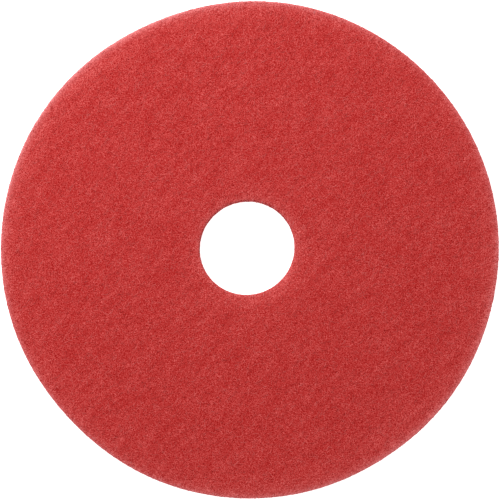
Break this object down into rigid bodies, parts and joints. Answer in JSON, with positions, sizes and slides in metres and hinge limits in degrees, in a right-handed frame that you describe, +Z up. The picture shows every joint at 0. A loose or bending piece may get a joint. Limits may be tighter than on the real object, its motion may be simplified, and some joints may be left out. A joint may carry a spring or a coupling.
{
  "type": "floor pad",
  "caption": "Red non-woven floor pad for a rotary floor machine: a thick springy disc of bonded fibre web with an open centre hole.",
  "frame": {"origin": "centre of the rim, on the lower working face that the pad lies on", "axes": "+Z up along the axis the pad spins about, from the lower working face to the upper one; the centre hole lies a little off that axis, towards -X and slightly towards +Y"},
  "size_m": [0.4318, 0.4318, 0.0254],
  "materials": {
    "face_web": "matt red non-woven fibre web, stiff with sprayed binder, fuzzy at cut edges",
    "core_web": "matt red non-woven fibre web, open and springy"
  },
  "bodies": {
    "root": {"upper_working_face": "face_web", "core_web": "core_web", "lower_working_face": "face_web"}
  },
  "joints": []
}
